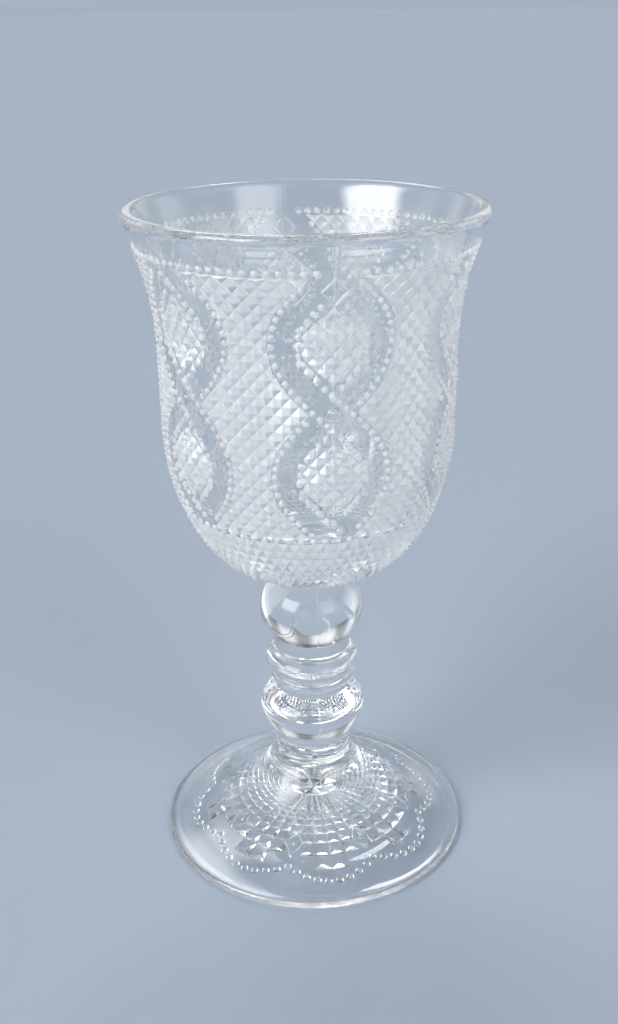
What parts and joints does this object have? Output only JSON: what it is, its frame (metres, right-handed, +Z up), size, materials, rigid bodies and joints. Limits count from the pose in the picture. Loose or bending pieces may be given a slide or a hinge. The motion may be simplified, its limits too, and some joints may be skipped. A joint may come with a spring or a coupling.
{
  "type": "water goblet",
  "caption": "Stemmed pressed-glass water goblet with a flared bowl, relief of points, beads and lattice, a two-knop stem and a domed foot.",
  "frame": {"origin": "middle of the ring that the foot rests on, on the table", "axes": "+Z up along the stem, -Y towards the front of the picture"},
  "size_m": [0.086, 0.086, 0.1717],
  "materials": {
    "clear_glass": "fire-polished clear soda-lime glass, smooth",
    "relief_glass": "clear soda-lime glass, pressed into sharp points and beads"
  },
  "bodies": {
    "root": {"bowl": "clear_glass", "rim_beads": "relief_glass", "ground_points": "relief_glass", "ribbon_beads_left": "relief_glass", "ribbon_beads_right": "relief_glass", "crossing_buttons": "relief_glass", "lattice_bars": "relief_glass", "lattice_points": "relief_glass", "base_bead_row": "relief_glass", "base_points": "relief_glass", "upper_knop": "clear_glass", "ring": "clear_glass", "lower_knop": "clear_glass", "foot": "clear_glass", "foot_points": "relief_glass", "foot_lozenges": "relief_glass", "foot_bead_border": "relief_glass"}
  },
  "joints": []
}
